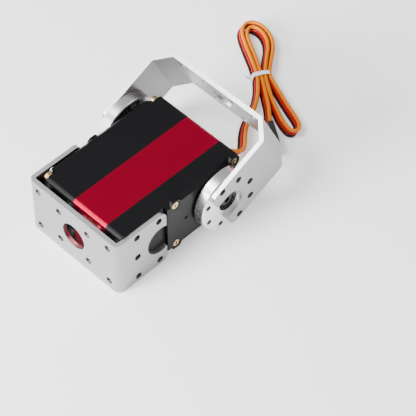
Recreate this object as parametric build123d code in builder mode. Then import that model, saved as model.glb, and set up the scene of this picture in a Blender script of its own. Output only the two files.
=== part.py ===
from build123d import *
import os
from math import atan2, cos, degrees, pi, radians, sin, sqrt, tan

# Tilt joint for a small camera: a dual-shaft servo held in a U mounting bracket,
# carrying a wider U tilt bracket on its two discs.
#
# Frame: the origin is the centre of the mounting bracket's outer face, +X runs along
# the servo towards its shaft, the tilt shaft is parallel to Y with the driven disc on
# the -Y side, and +Z is up. "Forward" below means towards the driven disc, along -Y.

os.makedirs("parts", exist_ok=True)

# ---------------------------------------------------------------- driving dimensions
# Sheet metal
sheet = 2.0                  # thickness of both brackets
bend_radius = 0.8            # inside radius of every fold
corner_radius = 3.0          # rounded corners of the bracket arms

# Mounting bracket
mount_height = 30.0          # along Z
mount_arm_length = 27.5      # from the outer face to the arm ends
mount_arm_hole_first = 11.2  # first column of arm holes, from the outer face
arm_hole_pitch = 12.2        # between columns and rows of arm holes
notch_radius = 7.2           # round notch in each arm end
notch_inset = 3.4            # notch centre behind the arm end

# Hole pattern that both brackets share
pitch_circle = 24.0          # four holes round the big one, and every disc hole
outer_hole_y = 20.8          # four more holes further out
outer_hole_z = 10.4
big_hole_radius = 6.4
m3_clear_radius = 1.6
m3_tapped_radius = 1.3

# Servo case
servo_length = 66.0
servo_width = 29.5
front_face = 25.9              # forward of the mid-plane
arm_recess = 1.5               # depth of the flat that the bracket's front arm sits on
arm_recess_end = 1.0           # how far that flat runs on past the arm
rear_arm_gap = 0.4             # between the rear cover and where the rear arm would seat
dimple_radius = 0.8
dimple_inset = 34.8            # from the servo's start to the front face's moulding dimple
split_front = 15.2           # front cover to middle case
split_rear = -4.0            # middle case to rear cover
servo_end_gap = 2.2          # between the bracket's inside and the servo's end
servo_rise = 1.2             # servo axis above the bracket's centre
case_wall = 2.2
case_corner = 2.1              # vertical edges of the case
front_bevel = 1.9
rear_bevel = 1.8
shaft_inset = 12.6             # tilt shaft from the servo's far end

# Case screws
screw_inset = 3.2              # end screws from each end of the case
screw_middle = 24.2            # middle screws from the tilt shaft
screw_spread = 12.0          # screws above and below the servo's axis
screw_radius = 1.2
screw_head_radius = 1.9
screw_head_height = 1.3
lug_radius = 3.1
post_radius = 2.2
corner_notch = 3.6           # depth of the notches that bare the rear corner screws
rear_head_radius = 2.2
rear_head_height = 2.6
front_screw_length = 15.0
rear_screw_length = 21.0

# Discs and shaft ends
disc_radius = 14.7
disc_thickness = 5.2
disc_gap = 0.5                 # from the servo's front face to the driven disc
disc_edge = 0.4
head_recess_radius = 5.1
head_recess_depth = 2.4
spline_radius = 3.85
spline_teeth = 25
spline_depth = 0.35
shaft_radius = 5.0
journal_radius = 3.0
sensor_shaft_radius = 1.5
bearing_radius = 7.5
bearing_width = 4.0
bearing_lip = 1.0
bearing_boss = 1.8           # wall round the bearing
idler_bearing_radius = 5.0
idler_bearing_width = 3.0
axle_radius = 3.0
axle_thread_radius = 2.0
axle_thread_length = 6.0
axle_head_radius = 4.6
axle_head_height = 1.5
rear_boss_radius = 6.0
rear_boss_gap = 0.1            # between the rear boss and the free disc

# Gear train: module, teeth of each wheel and the width of a wheel
module_first = 0.5
module_second = 0.6
module_third = 0.8
pinion_teeth = 10
first_wheel_teeth = 38
first_pinion_teeth = 12
second_wheel_teeth = 30
second_pinion_teeth = 10
output_teeth = 22
wheel_width = 2.4
wheel_gap = 0.5
tip_clearance = 0.15         # teeth stop this far short of the pitch circle
tooth_height = 0.7
gear_pin_radius = 1.5
deck_thickness = 3.0
chamber_depth = 5.8          # gear deck behind the front split

# Motor, board and sensor
motor_radius = 11.0
motor_length = 24.0
motor_shaft_radius = 1.0
motor_screw_offset = 7.5
board_thickness = 1.6
board_margin = 2.0
board_forward = -20.0        # back of the board
sensor_radius = 5.0
sensor_length = 4.0

# Tilt bracket
tilt_rest = 24.5             # degrees above +X as it stands
tilt_reach = 32.5            # shaft to the inside of its far plate
tilt_half_width = 13.75
tilt_corner = 6.5            # size of the 45 degree corners
tilt_tail = 5.6              # arm ends behind the shaft
tilt_slot_radius = 6.3
set_screw_length = 4.0
set_screw_recess = 0.9
set_screw_radius = 1.25

# Lead
ribbon_width = 5.1           # three cores side by side, standing on edge
core_radius = 0.85
exit_y = -3.4
exit_drop = 6.2              # below the servo's axis
grommet_radius = 3.4
grommet_length = 2.0
connector_width = 2.6
connector_height = 7.8
connector_length = 14.0
tie_thickness = 0.5
tie_width = 2.2

# Running and seating clearances
running_clearance = 0.05
seat_clearance = 0.02

# ---------------------------------------------------------------- derived places
servo_start = sheet + servo_end_gap
servo_end = servo_start + servo_length
servo_middle = (servo_start + servo_end) / 2
servo_axis = servo_rise
shaft_x = servo_end - shaft_inset
floor_z = -mount_height / 2

arm_seat = front_face - arm_recess
rear_face = rear_arm_gap - arm_seat
mount_inner_width = 2 * (arm_seat + seat_clearance)
disc_inner = front_face + disc_gap
rear_boss_height = disc_inner + rear_face - rear_boss_gap
disc_face = disc_inner + disc_thickness
tilt_inner_width = 2 * disc_face

screw_columns = (servo_start + screw_inset, shaft_x - screw_middle, servo_end - screw_inset)
screw_rows = (servo_axis - screw_spread, servo_axis + screw_spread)
screw_places = [(x, z) for x in screw_columns for z in screw_rows]
recessed_places = [(screw_columns[0], z) for z in screw_rows]
raised_places = [(x, z) for x in screw_columns[1:] for z in screw_rows]
corner_places = [(x, z) for x in (screw_columns[0], screw_columns[2]) for z in screw_rows]
middle_places = [(screw_columns[1], z) for z in screw_rows]

deck_front = split_front - chamber_depth
deck_rear = deck_front - deck_thickness
first_back = deck_front + 0.6
first_front = first_back + wheel_width
second_back = first_front + wheel_gap
second_front = second_back + wheel_width
output_back = second_front + wheel_gap
output_front = output_back + wheel_width + wheel_gap
bearing_back = front_face - bearing_lip - bearing_width
cover_inside = arm_seat - case_wall - 0.2

third_distance = module_third * (second_pinion_teeth + output_teeth) / 2
second_distance = module_second * (first_pinion_teeth + second_wheel_teeth) / 2
first_distance = module_first * (pinion_teeth + first_wheel_teeth) / 2
second_pin_x = shaft_x - third_distance
first_pin_x = second_pin_x - second_distance
motor_x = first_pin_x - first_distance

tilt_direction = Vector(cos(radians(tilt_rest)), 0, sin(radians(tilt_rest)))
tilt_normal = Vector(-sin(radians(tilt_rest)), 0, cos(radians(tilt_rest)))
shaft_centre = Vector(shaft_x, 0, servo_axis)
inner_hole = pitch_circle / 2 / sqrt(2)


def across(forward):
    """Plane across the shaft, this far forward of the mid-plane, with x along X and y along Z."""
    return Plane.XZ.offset(forward)


def wheel_outline(module, teeth):
    """Toothed outline drawn in the current sketch, its tips just short of the pitch circle."""
    tip = module * teeth / 2 - tip_clearance
    root = tip - tooth_height
    step = 2 * pi / teeth
    corners = []
    for tooth in range(teeth):
        middle = tooth * step
        for radius, share in ((root, -0.32), (tip, -0.16), (tip, 0.16), (root, 0.32)):
            angle = middle + share * step
            corners.append((radius * cos(angle), radius * sin(angle)))
    Polygon(*corners, align=None)


def turned(profile, axis_x, axis_z):
    """Solid of revolution about an axis along Y, from (radius, forward) points."""
    plane = Plane(origin=(axis_x, 0, axis_z), x_dir=(1, 0, 0), z_dir=(0, 0, 1))
    with BuildPart() as body:
        with BuildSketch(plane):
            Polygon(*[(radius, -forward) for radius, forward in profile], align=None)
        revolve(axis=Axis((axis_x, 0, axis_z), (0, 1, 0)))
    return body.part


def save(piece, name):
    """Label a finished piece and write it under its own name."""
    piece.label = name
    export_step(piece, f"parts/{name}.step")


# ---------------------------------------------------------------- mounting bracket
with BuildPart() as mount_bracket:
    with BuildSketch(Plane.XY.offset(-mount_height / 2)):
        with BuildLine():
            inner = mount_inner_width / 2
            FilletPolyline(
                (mount_arm_length, -inner), (sheet, -inner), (sheet, inner), (mount_arm_length, inner),
                radius=bend_radius,
            )
            offset(amount=sheet, side=Side.LEFT)
        make_face()
    extrude(amount=mount_height)
    arm_corners = mount_bracket.edges().filter_by(Axis.Y).group_by(Axis.X)[-1]
    fillet(arm_corners, corner_radius)
    # round notch in both arm ends
    with BuildSketch(across(-mount_inner_width)):
        with Locations((mount_arm_length - notch_inset, 0)):
            Circle(notch_radius)
        with Locations((mount_arm_length - notch_inset, 0)):
            Rectangle(2 * notch_inset, 1.5 * notch_radius, align=(Align.MIN, Align.CENTER))
    extrude(amount=2 * mount_inner_width, mode=Mode.SUBTRACT)
    # arm holes
    second_column = mount_arm_hole_first + arm_hole_pitch
    mount_arm_holes = [(mount_arm_hole_first, row * arm_hole_pitch) for row in (-1, 0, 1)]
    mount_arm_holes += [(second_column, row * arm_hole_pitch) for row in (-1, 1)]
    with BuildSketch(across(-mount_inner_width)):
        with Locations(*mount_arm_holes):
            Circle(m3_clear_radius)
    extrude(amount=2 * mount_inner_width, mode=Mode.SUBTRACT)
    # base holes
    with BuildSketch(Plane.YZ):
        Circle(big_hole_radius)
        with GridLocations(2 * inner_hole, 2 * inner_hole, 2, 2):
            Circle(m3_clear_radius)
        with GridLocations(2 * outer_hole_y, 2 * outer_hole_z, 2, 2):
            Circle(m3_clear_radius)
    extrude(amount=sheet, mode=Mode.SUBTRACT)
save(mount_bracket.part, "mount_bracket")


# ---------------------------------------------------------------- servo case
def case_outline():
    """Outline of the case across the shaft, drawn in the current sketch."""
    with Locations((servo_middle, servo_axis)):
        RectangleRounded(servo_length, servo_width, case_corner)


def case_hollow():
    """Inside of the case walls, drawn in the current sketch."""
    with Locations((servo_middle, servo_axis)):
        RectangleRounded(servo_length - 2 * case_wall, servo_width - 2 * case_wall, case_corner / 2)


def screw_posts():
    """Posts round the case screws, kept inside the case, drawn in the current sketch."""
    with Locations(*screw_places):
        Circle(post_radius)
    with Locations((servo_middle, servo_axis)):
        RectangleRounded(servo_length - 1, servo_width - 1, case_corner - 0.5, mode=Mode.INTERSECT)


def screw_lugs(places):
    """Round lugs that keep their full height where the case edges are bevelled."""
    with Locations(*places):
        Circle(lug_radius)
    with Locations((servo_middle, servo_axis)):
        RectangleRounded(servo_length, servo_width, case_corner, mode=Mode.INTERSECT)


# Front cover: the gear lid, with the bearing seat for the output shaft
with BuildPart() as front_cover:
    with BuildSketch(across(split_front)):
        case_outline()
    extrude(amount=front_face - split_front)
    outer_rim = front_cover.faces().sort_by(Axis.Y)[0].edges()
    chamfer(outer_rim, front_bevel)
    with BuildSketch(across(front_face - front_bevel)):
        screw_lugs(screw_places)
    extrude(amount=front_bevel)
    with BuildSketch(across(arm_seat)):
        with Locations((mount_arm_length + arm_recess_end, servo_axis)):
            Rectangle(servo_length, servo_width + 2, align=(Align.MAX, Align.CENTER))
    extrude(amount=arm_recess, mode=Mode.SUBTRACT)
    with BuildSketch(across(front_face - 0.6)):
        with Locations((servo_start + dimple_inset, servo_axis)):
            Circle(dimple_radius)
    extrude(amount=0.6, mode=Mode.SUBTRACT)
    with BuildSketch(across(split_front)):
        case_hollow()
    extrude(amount=cover_inside - split_front, mode=Mode.SUBTRACT)
    with BuildSketch(across(split_front)):
        screw_posts()
    extrude(amount=cover_inside - split_front)
    with BuildSketch(across(bearing_back)):
        with Locations((shaft_x, servo_axis)):
            Circle(bearing_radius + bearing_boss)
    extrude(amount=cover_inside - bearing_back)
    with BuildSketch(across(bearing_back)):
        with Locations((shaft_x, servo_axis)):
            Circle(bearing_radius + seat_clearance)
    extrude(amount=bearing_width, mode=Mode.SUBTRACT)
    with BuildSketch(across(split_front)):
        with Locations((shaft_x, servo_axis)):
            Circle(bearing_radius - bearing_lip)
    extrude(amount=front_face - split_front, mode=Mode.SUBTRACT)
    with BuildSketch(across(split_front)):
        with Locations(*screw_places):
            Circle(screw_radius + seat_clearance)
    extrude(amount=front_face - split_front, mode=Mode.SUBTRACT)
    for places, top in ((recessed_places, arm_seat), (raised_places, front_face)):
        with BuildSketch(across(top - screw_head_height - 0.2)):
            with Locations(*places):
                Circle(screw_head_radius + 0.15)
        extrude(amount=front_bevel, mode=Mode.SUBTRACT)
    with BuildSketch(across(cover_inside)):
        with Locations((first_pin_x, servo_axis), (second_pin_x, servo_axis)):
            Circle(gear_pin_radius + seat_clearance)
    extrude(amount=1.2, mode=Mode.SUBTRACT)
    # tapped holes behind the mounting bracket's front arm
    with BuildSketch(across(arm_seat - set_screw_length)):
        with Locations(*mount_arm_holes):
            Circle(set_screw_radius + seat_clearance)
    extrude(amount=set_screw_length, mode=Mode.SUBTRACT)
save(front_cover.part, "front_cover")

# Middle case: the red body, with the gear deck across it
with BuildPart() as middle_case:
    with BuildSketch(across(split_rear)):
        case_outline()
    extrude(amount=split_front - split_rear)
    with BuildSketch(across(split_rear)):
        case_hollow()
    extrude(amount=split_front - split_rear, mode=Mode.SUBTRACT)
    with BuildSketch(across(split_rear)):
        screw_posts()
    extrude(amount=split_front - split_rear)
    with BuildSketch(across(deck_rear)):
        with Locations((servo_middle, servo_axis)):
            Rectangle(servo_length - case_wall, servo_width - case_wall)
    extrude(amount=deck_thickness)
    with BuildSketch(across(split_rear)):
        with Locations(*screw_places):
            Circle(screw_radius + seat_clearance)
        with Locations((motor_x, servo_axis)):
            Circle(motor_shaft_radius + 1.0)
        with Locations(*[(motor_x, servo_axis + side * motor_screw_offset) for side in (-1, 1)]):
            Circle(screw_radius)
        with Locations((shaft_x, servo_axis)):
            Circle(journal_radius + running_clearance)
        with Locations((first_pin_x, servo_axis), (second_pin_x, servo_axis)):
            Circle(gear_pin_radius + seat_clearance)
    extrude(amount=split_front - split_rear, mode=Mode.SUBTRACT)
    # opening for the lead's grommet in the far end wall
    with BuildSketch(Plane.YZ.offset(servo_end - 2 * case_wall)):
        with Locations((exit_y, servo_axis - exit_drop)):
            Circle(grommet_radius - 0.8)
    extrude(amount=2 * case_wall, mode=Mode.SUBTRACT)
save(middle_case.part, "middle_case")

# Rear cover: motor and board housing, with the boss for the free disc's axle
with BuildPart() as rear_cover:
    with BuildSketch(across(rear_face)):
        case_outline()
    extrude(amount=split_rear - rear_face)
    rear_rim = rear_cover.faces().sort_by(Axis.Y)[-1].edges()
    chamfer(rear_rim, rear_bevel)
    with BuildSketch(across(rear_face)):
        screw_lugs(middle_places)
    extrude(amount=rear_bevel)
    with BuildSketch(across(rear_face + case_wall)):
        case_hollow()
    extrude(amount=split_rear - rear_face - case_wall, mode=Mode.SUBTRACT)
    with BuildSketch(across(rear_face + case_wall)):
        screw_posts()
    extrude(amount=split_rear - rear_face - case_wall)
    # corner blocks under the open notches
    with BuildSketch(across(rear_face + case_wall)):
        with Locations(*corner_places):
            Rectangle(2 * screw_inset + 1, 2 * screw_inset)
        with Locations((servo_middle, servo_axis)):
            RectangleRounded(servo_length - 1, servo_width - 1, case_corner - 0.5, mode=Mode.INTERSECT)
    extrude(amount=corner_notch)
    with BuildSketch(across(rear_face)):
        with Locations(*corner_places):
            Rectangle(2 * screw_inset + 0.2, 2 * screw_inset - 0.6)
    extrude(amount=corner_notch, mode=Mode.SUBTRACT)
    with BuildSketch(across(rear_face)):
        with Locations(*screw_places):
            Circle(screw_radius + seat_clearance)
    extrude(amount=split_rear - rear_face, mode=Mode.SUBTRACT)
    with BuildSketch(across(rear_face)):
        with Locations(*middle_places):
            Circle(screw_head_radius + 0.15)
    extrude(amount=screw_head_height + 0.2, mode=Mode.SUBTRACT)
    with BuildSketch(across(rear_face + axle_thread_length - rear_boss_height)):
        with Locations((shaft_x, servo_axis)):
            Circle(rear_boss_radius)
    extrude(amount=-axle_thread_length)
    with BuildSketch(across(rear_face - rear_boss_height)):
        with Locations((shaft_x, servo_axis)):
            Circle(axle_thread_radius + seat_clearance)
    extrude(amount=axle_thread_length, mode=Mode.SUBTRACT)
    # tapped holes behind the mounting bracket's rear arm, clear of the corner notches
    rear_arm_holes = [mount_arm_holes[1], mount_arm_holes[3], mount_arm_holes[4]]
    with BuildSketch(across(rear_face)):
        with Locations(*rear_arm_holes):
            Circle(set_screw_radius + seat_clearance)
    extrude(amount=set_screw_length, mode=Mode.SUBTRACT)
save(rear_cover.part, "rear_cover")


# ---------------------------------------------------------------- case fasteners
def screw_group(places, head_top, length, head_radius, head_height):
    """Pan-head screws with a cross recess; a negative length points them forward."""
    way = 1 if length > 0 else -1
    with BuildPart() as screws:
        with BuildSketch(across(head_top)):
            with Locations(*places):
                Circle(head_radius)
        extrude(amount=-way * head_height)
        fillet(screws.edges().filter_by(GeomType.CIRCLE).group_by(Axis.Y)[0 if way > 0 else -1], 0.4)
        with BuildSketch(across(head_top - way * head_height)):
            with Locations(*places):
                Circle(screw_radius)
        extrude(amount=-length)
        with BuildSketch(across(head_top)):
            with Locations(*places):
                Rectangle(head_radius * 1.3, 0.45)
                Rectangle(0.45, head_radius * 1.3)
        extrude(amount=-way * 0.7, mode=Mode.SUBTRACT)
    return screws.part


recessed_screws = screw_group(
    recessed_places, arm_seat - 0.2, front_screw_length, screw_head_radius, screw_head_height
)
raised_screws = screw_group(
    raised_places, front_face - 0.2, front_screw_length, screw_head_radius, screw_head_height
)
front_case_screws = Compound(children=recessed_screws.solids() + raised_screws.solids())
save(front_case_screws, "front_case_screws")

corner_screws = screw_group(
    corner_places, rear_face + corner_notch - rear_head_height, -rear_screw_length, rear_head_radius,
    rear_head_height,
)
middle_screws = screw_group(
    middle_places, rear_face + 0.2, -rear_screw_length, screw_head_radius, screw_head_height
)
rear_case_screws = Compound(children=corner_screws.solids() + middle_screws.solids())
save(rear_case_screws, "rear_case_screws")


def socket_screws(places, outer_face, way):
    """Set screws sunk below a bracket arm, with hexagon sockets; way is 1 forward and -1 rearward."""
    top = way * (outer_face - set_screw_recess)
    with BuildPart() as screws:
        with BuildSketch(across(top)):
            with Locations(*places):
                Circle(set_screw_radius)
                RegularPolygon(0.75, 6, mode=Mode.SUBTRACT)
        extrude(amount=-way * 1.6)
        with BuildSketch(across(top - way * 1.6)):
            with Locations(*places):
                Circle(set_screw_radius)
        extrude(amount=-way * (set_screw_length - 1.6))
    return screws.part


mount_outer = mount_inner_width / 2 + sheet
mount_set_screws = Compound(
    children=socket_screws(mount_arm_holes, mount_outer, 1).solids()
    + socket_screws(rear_arm_holes, mount_outer, -1).solids()
)
save(mount_set_screws, "mount_set_screws")

# ---------------------------------------------------------------- output shaft
output_bearing = turned(
    [
        (shaft_radius + running_clearance, bearing_back),
        (bearing_radius, bearing_back),
        (bearing_radius, bearing_back + bearing_width),
        (bearing_radius - 0.8, bearing_back + bearing_width),
        (bearing_radius - 0.9, bearing_back + bearing_width - 0.3),
        (shaft_radius + 0.9, bearing_back + bearing_width - 0.3),
        (shaft_radius + 0.8, bearing_back + bearing_width),
        (shaft_radius + running_clearance, bearing_back + bearing_width),
    ],
    shaft_x, servo_axis,
)
save(output_bearing, "output_bearing")

output_seal = turned(
    [
        (shaft_radius + running_clearance, front_face - bearing_lip),
        (bearing_radius - bearing_lip, front_face - bearing_lip),
        (bearing_radius - bearing_lip, front_face - 0.1),
        (shaft_radius + 0.5, front_face - 0.1),
        (shaft_radius + running_clearance, front_face - 0.5),
    ],
    shaft_x, servo_axis,
)
save(output_seal, "output_seal")

spline_end = disc_face - head_recess_depth - 0.1
sensor_back = deck_rear - sensor_length
with BuildPart() as output_shaft:
    add(turned(
        [
            (0, sensor_back + 0.5),
            (sensor_shaft_radius, sensor_back + 0.5),
            (sensor_shaft_radius, deck_rear - 0.3),
            (journal_radius, deck_rear - 0.3),
            (journal_radius, output_front),
            (shaft_radius + 0.6, output_front),
            (shaft_radius + 0.6, bearing_back - 0.1),
            (shaft_radius, bearing_back - 0.1),
            (shaft_radius, disc_inner - 0.3),
            (spline_radius, disc_inner - 0.1),
            (spline_radius, spline_end),
            (0, spline_end),
        ],
        shaft_x, servo_axis,
    ))
    with BuildSketch(across(spline_end)):
        with Locations((shaft_x, servo_axis)):
            with PolarLocations(spline_radius, spline_teeth):
                RegularPolygon(spline_depth, 3)
    extrude(amount=-(spline_end - disc_inner), mode=Mode.SUBTRACT)
    with BuildSketch(across(spline_end)):
        with Locations((shaft_x, servo_axis)):
            Circle(1.5 + seat_clearance)
    extrude(amount=-8.0, mode=Mode.SUBTRACT)
save(output_shaft.part, "output_shaft")

with BuildPart() as output_gear:
    with BuildSketch(across(output_back)):
        with Locations((shaft_x, servo_axis)):
            wheel_outline(module_third, output_teeth)
            Circle(journal_radius + seat_clearance, mode=Mode.SUBTRACT)
    extrude(amount=output_front - output_back)
save(output_gear.part, "output_gear")


def double_wheel(axis_x, back, front, end, wheel, pinion):
    """Large wheel and small pinion made as one, turning on a pin; wheel and pinion are (module, teeth)."""
    with BuildPart() as piece:
        with BuildSketch(across(back)):
            with Locations((axis_x, servo_axis)):
                wheel_outline(*wheel)
        extrude(amount=front - back)
        with BuildSketch(across(front)):
            with Locations((axis_x, servo_axis)):
                wheel_outline(*pinion)
        extrude(amount=end - front)
        with BuildSketch(across(back)):
            with Locations((axis_x, servo_axis)):
                Circle(gear_pin_radius + running_clearance)
        extrude(amount=end - back, mode=Mode.SUBTRACT)
    return piece.part


second_gear = double_wheel(
    second_pin_x, second_back, second_front, output_front,
    (module_second, second_wheel_teeth), (module_third, second_pinion_teeth),
)
save(second_gear, "second_gear")
first_gear = double_wheel(
    first_pin_x, first_back, first_front, second_front,
    (module_first, first_wheel_teeth), (module_second, first_pinion_teeth),
)
save(first_gear, "first_gear")

with BuildPart() as gear_pins:
    with BuildSketch(across(deck_rear + 0.5)):
        with Locations((first_pin_x, servo_axis), (second_pin_x, servo_axis)):
            Circle(gear_pin_radius)
    extrude(amount=cover_inside + 1.0 - deck_rear - 0.5)
save(gear_pins.part, "gear_pins")

# ---------------------------------------------------------------- motor
motor_back = deck_rear - motor_length
can_wall = 1.0
motor_can = turned(
    [
        (motor_shaft_radius + running_clearance, deck_rear),
        (motor_radius, deck_rear),
        (motor_radius, motor_back + 2.0),
        (motor_radius - can_wall, motor_back + 2.0),
        (motor_radius - can_wall, deck_rear - 1.5),
        (motor_shaft_radius + running_clearance, deck_rear - 1.5),
    ],
    motor_x, servo_axis,
)
with BuildPart() as motor_body:
    add(motor_can)
    with BuildSketch(across(deck_rear)):
        with Locations(*[(motor_x, servo_axis + side * motor_screw_offset) for side in (-1, 1)]):
            Circle(1.0 + seat_clearance)
    extrude(amount=-1.5, mode=Mode.SUBTRACT)
save(motor_body.part, "motor_can")

motor_end_cap = turned(
    [
        (motor_shaft_radius + running_clearance, motor_back),
        (motor_radius - 0.4, motor_back),
        (motor_radius, motor_back + 0.4),
        (motor_radius, motor_back + 2.0),
        (motor_radius - can_wall - seat_clearance, motor_back + 2.0),
        (motor_radius - can_wall - seat_clearance, motor_back + 3.0),
        (motor_shaft_radius + running_clearance, motor_back + 3.0),
    ],
    motor_x, servo_axis,
)
save(motor_end_cap, "motor_end_cap")

magnet_outer = motor_radius - can_wall - seat_clearance
magnet_inner = magnet_outer - 1.9
with BuildPart() as motor_magnets:
    with BuildSketch(across(motor_back + 4.0)):
        with Locations((motor_x, servo_axis)):
            Circle(magnet_outer)
            Circle(magnet_inner, mode=Mode.SUBTRACT)
            Rectangle(magnet_outer * 0.9, 2 * motor_radius, mode=Mode.SUBTRACT)
    extrude(amount=motor_length - 6.5)
save(motor_magnets.part, "motor_magnets")

armature_radius = magnet_inner - 0.5
motor_armature = turned(
    [
        (0, motor_back + 0.3),
        (motor_shaft_radius, motor_back + 0.3),
        (motor_shaft_radius, motor_back + 3.4),
        (3.0, motor_back + 3.4),
        (3.0, motor_back + 5.5),
        (armature_radius - 1.5, motor_back + 6.0),
        (armature_radius, motor_back + 6.6),
        (armature_radius, deck_rear - 4.2),
        (armature_radius - 1.5, deck_rear - 3.2),
        (motor_shaft_radius, deck_rear - 3.2),
        (motor_shaft_radius, first_front),
        (0, first_front),
    ],
    motor_x, servo_axis,
)
save(motor_armature, "motor_armature")

with BuildPart() as motor_pinion:
    with BuildSketch(across(first_back)):
        with Locations((motor_x, servo_axis)):
            wheel_outline(module_first, pinion_teeth)
            Circle(motor_shaft_radius + seat_clearance, mode=Mode.SUBTRACT)
    extrude(amount=first_front - first_back)
save(motor_pinion.part, "motor_pinion")

with BuildPart() as motor_screws:
    motor_screw_places = [(motor_x, servo_axis + side * motor_screw_offset) for side in (-1, 1)]
    with BuildSketch(across(deck_front)):
        with Locations(*motor_screw_places):
            Circle(1.9)
    extrude(amount=1.0)
    with BuildSketch(across(deck_front)):
        with Locations(*motor_screw_places):
            Circle(1.0)
    extrude(amount=-(deck_thickness + 1.3))
save(motor_screws.part, "motor_screws")

# ---------------------------------------------------------------- electronics
position_sensor = turned(
    [
        (sensor_shaft_radius + running_clearance, sensor_back),
        (sensor_radius, sensor_back),
        (sensor_radius, deck_rear),
        (journal_radius + 0.4, deck_rear),
        (journal_radius + 0.4, deck_rear - 0.6),
        (sensor_shaft_radius + running_clearance, deck_rear - 0.6),
    ],
    shaft_x, servo_axis,
)
save(position_sensor, "position_sensor")

board_front = board_forward + board_thickness
with BuildPart() as circuit_board:
    with BuildSketch(across(board_forward)):
        with Locations((servo_middle, servo_axis)):
            Rectangle(
                servo_length - 2 * case_wall - 2 * board_margin,
                2 * (screw_spread - screw_inset) - 2 * 0.4,
            )
            Rectangle(
                servo_length - 2 * (2 * screw_inset + 2),
                2 * (screw_spread - post_radius) - 2 * 0.4,
            )
    extrude(amount=board_thickness)
save(circuit_board.part, "circuit_board")

chip_x = motor_x + motor_radius + 5.0
with BuildPart() as board_chips:
    with BuildSketch(across(board_front)):
        with Locations((chip_x + 3.5, servo_axis)):
            with GridLocations(7.0, 9.0, 2, 2):
                Rectangle(5.0, 6.0)
        with Locations((chip_x + 15.5, servo_axis - 2.5)):
            Rectangle(7.0, 7.0)
    extrude(amount=1.1)
save(board_chips.part, "board_chips")

with BuildPart() as board_capacitor:
    with BuildSketch(across(board_front)):
        with Locations((shaft_x + 3.6, servo_axis + 3.6)):
            Circle(3.0)
    extrude(amount=8.0)
    fillet(board_capacitor.edges().filter_by(GeomType.CIRCLE).group_by(Axis.Y)[0], 0.5)
save(board_capacitor.part, "board_capacitor")

# ---------------------------------------------------------------- discs and axles
hole_angles = [tilt_rest + 45 * step for step in range(8)]
disc_holes = [
    (shaft_x + pitch_circle / 2 * cos(radians(a)), servo_axis + pitch_circle / 2 * sin(radians(a)))
    for a in hole_angles
]


def disc_blank(inner, outer):
    """Turned disc with broken edges and eight tapped holes, from its inner to its outer face."""
    way = 1 if outer > inner else -1
    with BuildPart() as blank:
        with BuildSketch(across(inner)):
            with Locations((shaft_x, servo_axis)):
                Circle(disc_radius)
        extrude(amount=outer - inner)
        chamfer(blank.edges().filter_by(GeomType.CIRCLE), disc_edge)
        with BuildSketch(across(inner)):
            with Locations(*disc_holes):
                Circle(m3_tapped_radius)
        extrude(amount=outer - inner, mode=Mode.SUBTRACT)
        with BuildSketch(across(outer)):
            with Locations((shaft_x, servo_axis)):
                Circle(head_recess_radius)
        extrude(amount=-way * (head_recess_depth if way > 0 else axle_head_height + 0.2), mode=Mode.SUBTRACT)
    return blank.part


with BuildPart() as driven_disc:
    add(disc_blank(disc_inner, disc_face))
    with BuildSketch(across(disc_inner)):
        with Locations((shaft_x, servo_axis)):
            Circle(spline_radius + running_clearance)
    extrude(amount=disc_thickness, mode=Mode.SUBTRACT)
save(driven_disc.part, "driven_disc")

disc_screw_top = disc_face - 0.5
with BuildPart() as disc_screw:
    add(turned(
        [
            (0, spline_end - 6.5),
            (1.5, spline_end - 6.5),
            (1.5, spline_end + 0.1),
            (head_recess_radius - 0.3, spline_end + 0.1),
            (head_recess_radius - 0.3, spline_end + 0.7),
            (3.2, spline_end + 0.7),
            (3.0, disc_screw_top - 0.3),
            (2.6, disc_screw_top),
            (0, disc_screw_top),
        ],
        shaft_x, servo_axis,
    ))
    with BuildSketch(across(disc_screw_top)):
        with Locations((shaft_x, servo_axis)):
            RegularPolygon(1.5, 6)
    extrude(amount=-1.0, mode=Mode.SUBTRACT)
save(disc_screw.part, "disc_screw")

bearing_seat_end = disc_inner + idler_bearing_width
with BuildPart() as free_disc:
    add(disc_blank(-disc_inner, -disc_face))
    with BuildSketch(across(-disc_inner)):
        with Locations((shaft_x, servo_axis)):
            Circle(idler_bearing_radius + seat_clearance)
    extrude(amount=-idler_bearing_width, mode=Mode.SUBTRACT)
    with BuildSketch(across(-disc_inner)):
        with Locations((shaft_x, servo_axis)):
            Circle(idler_bearing_radius - 0.9)
    extrude(amount=-disc_thickness, mode=Mode.SUBTRACT)
save(free_disc.part, "free_disc")

idler_bearing = turned(
    [
        (axle_radius + running_clearance, -disc_inner),
        (idler_bearing_radius, -disc_inner),
        (idler_bearing_radius, -bearing_seat_end),
        (axle_radius + running_clearance, -bearing_seat_end),
    ],
    shaft_x, servo_axis,
)
save(idler_bearing, "idler_bearing")

axle_shoulder = -(rear_boss_height - rear_face)
axle_head_back = -(disc_face - axle_head_height + 0.0)
with BuildPart() as idler_axle:
    add(turned(
        [
            (0, axle_shoulder + axle_thread_length - 0.6),
            (axle_thread_radius, axle_shoulder + axle_thread_length - 0.6),
            (axle_thread_radius, axle_shoulder),
            (axle_radius, axle_shoulder),
            (axle_radius, axle_head_back),
            (axle_head_radius, axle_head_back),
            (axle_head_radius, -disc_face + 0.5),
            (axle_head_radius - 0.4, -disc_face + 0.2),
            (0, -disc_face + 0.2),
        ],
        shaft_x, servo_axis,
    ))
    with BuildSketch(across(-disc_face + 0.2)):
        with Locations((shaft_x, servo_axis)):
            RegularPolygon(1.5, 6)
    extrude(amount=1.0, mode=Mode.SUBTRACT)
save(idler_axle.part, "idler_axle")

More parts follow.
